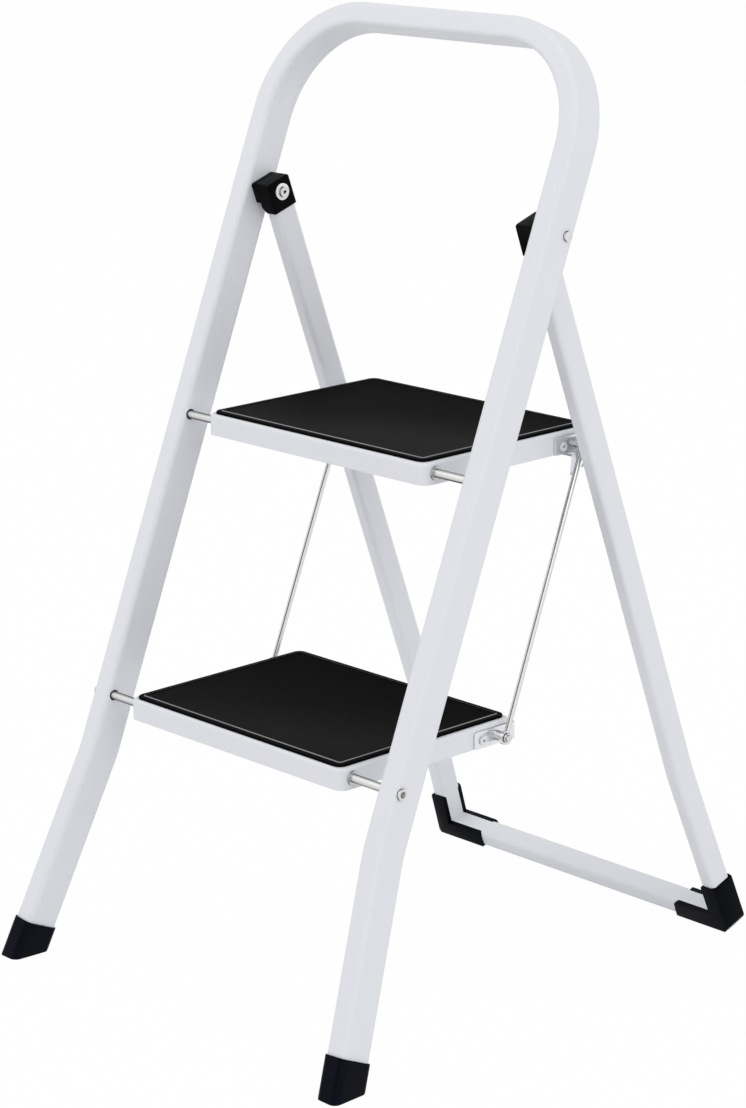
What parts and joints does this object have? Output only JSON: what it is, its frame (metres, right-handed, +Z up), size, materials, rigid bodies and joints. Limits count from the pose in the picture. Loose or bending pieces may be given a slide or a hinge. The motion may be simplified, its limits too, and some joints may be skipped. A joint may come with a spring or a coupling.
{
  "type": "step stool",
  "caption": "Folding step stool: bent tube front frame with a high grip hoop, hinged rear frame, tray treads with rubber mats that fold up on cross rods, joined by link rods.",
  "frame": {"origin": "on the floor, at the centre of the footprint of the opened stool", "axes": "+Z up, the front that a person climbs from faces -Y, +X to the right seen from the front"},
  "size_m": [0.4804, 0.5808, 0.8943],
  "materials": {
    "white_powder_coat": "satin white powder coat on steel tube and sheet",
    "zinc_plated_steel": "bright zinc plating on rods and pressed plates",
    "bright_steel": "plain bright steel fasteners",
    "black_plastic": "satin black moulded plastic",
    "black_tread_rubber": "black rubber tread mat with a fine grain"
  },
  "bodies": {
    "front_frame": {"front_frame_tube": "white_powder_coat", "right_front_foot": "black_plastic", "left_front_foot": "black_plastic", "upper_step_rod": "zinc_plated_steel", "lower_step_rod": "zinc_plated_steel", "upper_rod_retainers": "zinc_plated_steel", "lower_rod_retainers": "zinc_plated_steel", "pivot_bolts": "bright_steel", "pivot_washers": "white_powder_coat", "pivot_nuts": "bright_steel"},
    "rear_frame": {"rear_frame_tube": "white_powder_coat", "catch_rod": "zinc_plated_steel", "right_rear_leg_cap": "black_plastic", "left_rear_leg_cap": "black_plastic", "right_rear_corner_cover": "black_plastic", "left_rear_corner_cover": "black_plastic"},
    "upper_step": {"upper_step_tray": "white_powder_coat", "upper_step_mat": "black_tread_rubber", "upper_step_channel": "white_powder_coat", "upper_right_hook_plate": "zinc_plated_steel", "upper_left_hook_plate": "zinc_plated_steel", "upper_plate_rivets": "white_powder_coat", "upper_link_pins": "zinc_plated_steel", "upper_pin_clips": "zinc_plated_steel"},
    "lower_step": {"lower_step_tray": "white_powder_coat", "lower_step_mat": "black_tread_rubber", "lower_step_channel": "white_powder_coat", "lower_right_link_plate": "zinc_plated_steel", "lower_left_link_plate": "zinc_plated_steel", "lower_plate_rivets": "white_powder_coat", "lower_link_pins": "zinc_plated_steel", "lower_pin_clips": "zinc_plated_steel"},
    "right_link": {"right_link_rod": "zinc_plated_steel"},
    "left_link": {"left_link_rod": "zinc_plated_steel"}
  },
  "joints": [
    {"name": "rear_frame_fold", "type": "hinge", "parent": "front_frame", "child": "rear_frame", "pos_m": [0, 0.01256, 0.71457], "axis": [1, 0, 0], "range_deg": [-40, 0]},
    {"name": "upper_step_fold", "type": "hinge", "parent": "front_frame", "child": "upper_step", "pos_m": [0, -0.08443, 0.5085], "axis": [1, 0, 0], "range_deg": [0, 66]},
    {"name": "lower_step_fold", "type": "hinge", "parent": "front_frame", "child": "lower_step", "pos_m": [0, -0.18385, 0.2495], "axis": [1, 0, 0], "range_deg": [0, 66]},
    {"name": "right_link_swing", "type": "hinge", "parent": "upper_step", "child": "right_link", "pos_m": [0, 0.09258, 0.50959], "axis": [1, 0, 0], "range_deg": [-66, 0]},
    {"name": "left_link_swing", "type": "hinge", "parent": "upper_step", "child": "left_link", "pos_m": [0, 0.09258, 0.50959], "axis": [1, 0, 0], "range_deg": [-66, 0]}
  ],
  "couplings": [
    {"joint": "upper_step_fold", "follows": "rear_frame_fold", "ratio": -1.65},
    {"joint": "lower_step_fold", "follows": "rear_frame_fold", "ratio": -1.65},
    {"joint": "right_link_swing", "follows": "rear_frame_fold", "ratio": 1.65},
    {"joint": "left_link_swing", "follows": "rear_frame_fold", "ratio": 1.65}
  ]
}
